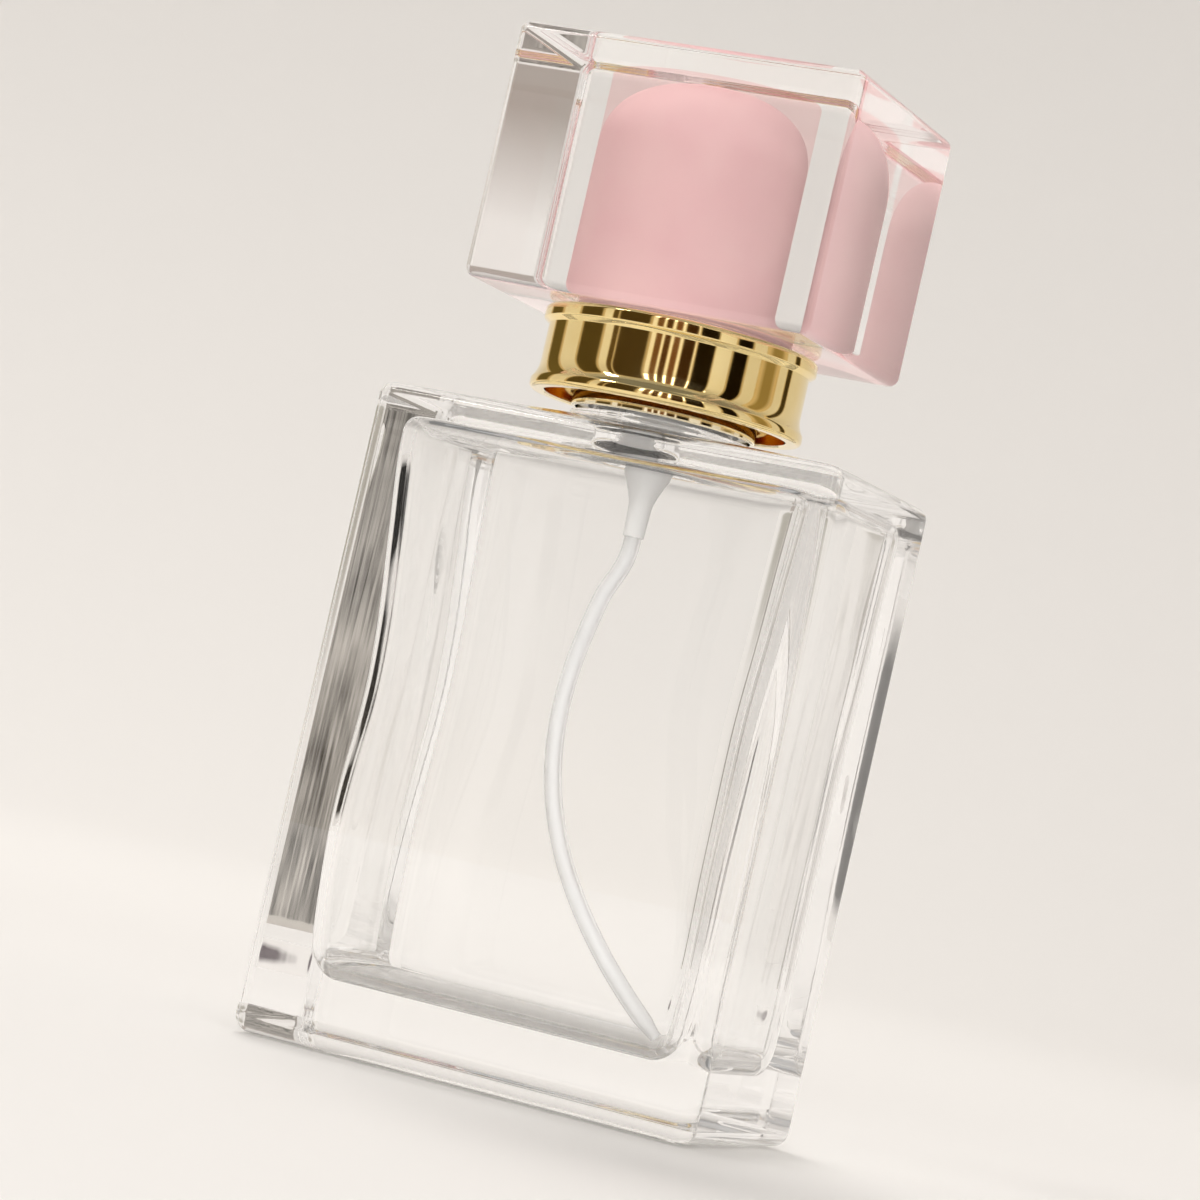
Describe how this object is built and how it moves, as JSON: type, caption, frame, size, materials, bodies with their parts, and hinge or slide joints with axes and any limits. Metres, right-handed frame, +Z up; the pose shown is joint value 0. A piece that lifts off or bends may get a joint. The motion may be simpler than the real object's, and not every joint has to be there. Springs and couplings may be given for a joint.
{
  "type": "perfume bottle",
  "caption": "Rectangular heavy glass perfume bottle with a polished gold collar, a press-down spray pump and dip tube, and a clear block overcap with a pink liner.",
  "frame": {"origin": "centre of the base, on the plane the bottle stands on", "axes": "+Z up along the neck, +X along the bottle's width, -Y is the front that the nozzle faces"},
  "size_m": [0.048, 0.029, 0.1001],
  "materials": {
    "clear_glass": "clear, fire polished",
    "clear_acrylic": "clear, polished",
    "gold": "gold anodised, polished",
    "pink_liner": "satin",
    "natural_plastic": "natural, translucent",
    "seal": "matt",
    "spring_steel": "bright drawn"
  },
  "bodies": {
    "bottle": {"glass_bottle": "clear_glass"},
    "pump_core": {"neck_gasket": "seal", "pump_housing": "natural_plastic", "stem_turret": "natural_plastic", "stem_seal": "seal", "main_spring": "spring_steel", "dip_tube": "natural_plastic"},
    "collar": {"screw_ferrule": "natural_plastic", "ferrule_shell": "gold", "collar_ring": "gold"},
    "cap": {"cap_block": "clear_acrylic", "cap_liner": "pink_liner"},
    "plunger": {"stem": "natural_plastic", "piston": "natural_plastic", "button_core": "natural_plastic", "button_shell": "gold", "nozzle_insert": "natural_plastic"},
    "ball": {"inlet_ball": "spring_steel"}
  },
  "joints": [
    {"name": "pump_lift", "type": "slide", "parent": "bottle", "child": "pump_core", "axis": [0, 0, 1], "range_m": [0, 0.0048]},
    {"name": "collar_turn", "type": "hinge", "parent": "pump_core", "child": "collar", "pos_m": [0, 0, 0.075], "axis": [0, 0, 1], "range_deg": [0, 810]},
    {"name": "cap_pull", "type": "slide", "parent": "collar", "child": "cap", "axis": [0, 0, 1], "range_m": [0, 0.04]},
    {"name": "actuator_press", "type": "slide", "parent": "pump_core", "child": "plunger", "axis": [0, 0, -1], "range_m": [0, 0.004], "stiffness_N_per_m": 1500, "springref_m": -0.004, "deforming": ["main_spring"]},
    {"name": "ball_lift", "type": "slide", "parent": "pump_core", "child": "ball", "axis": [0, 0, 1], "range_m": [0, 0.0005]}
  ],
  "couplings": [
    {"joint": "pump_lift", "follows": "collar_turn", "m_per_rad": 0.00033741}
  ]
}
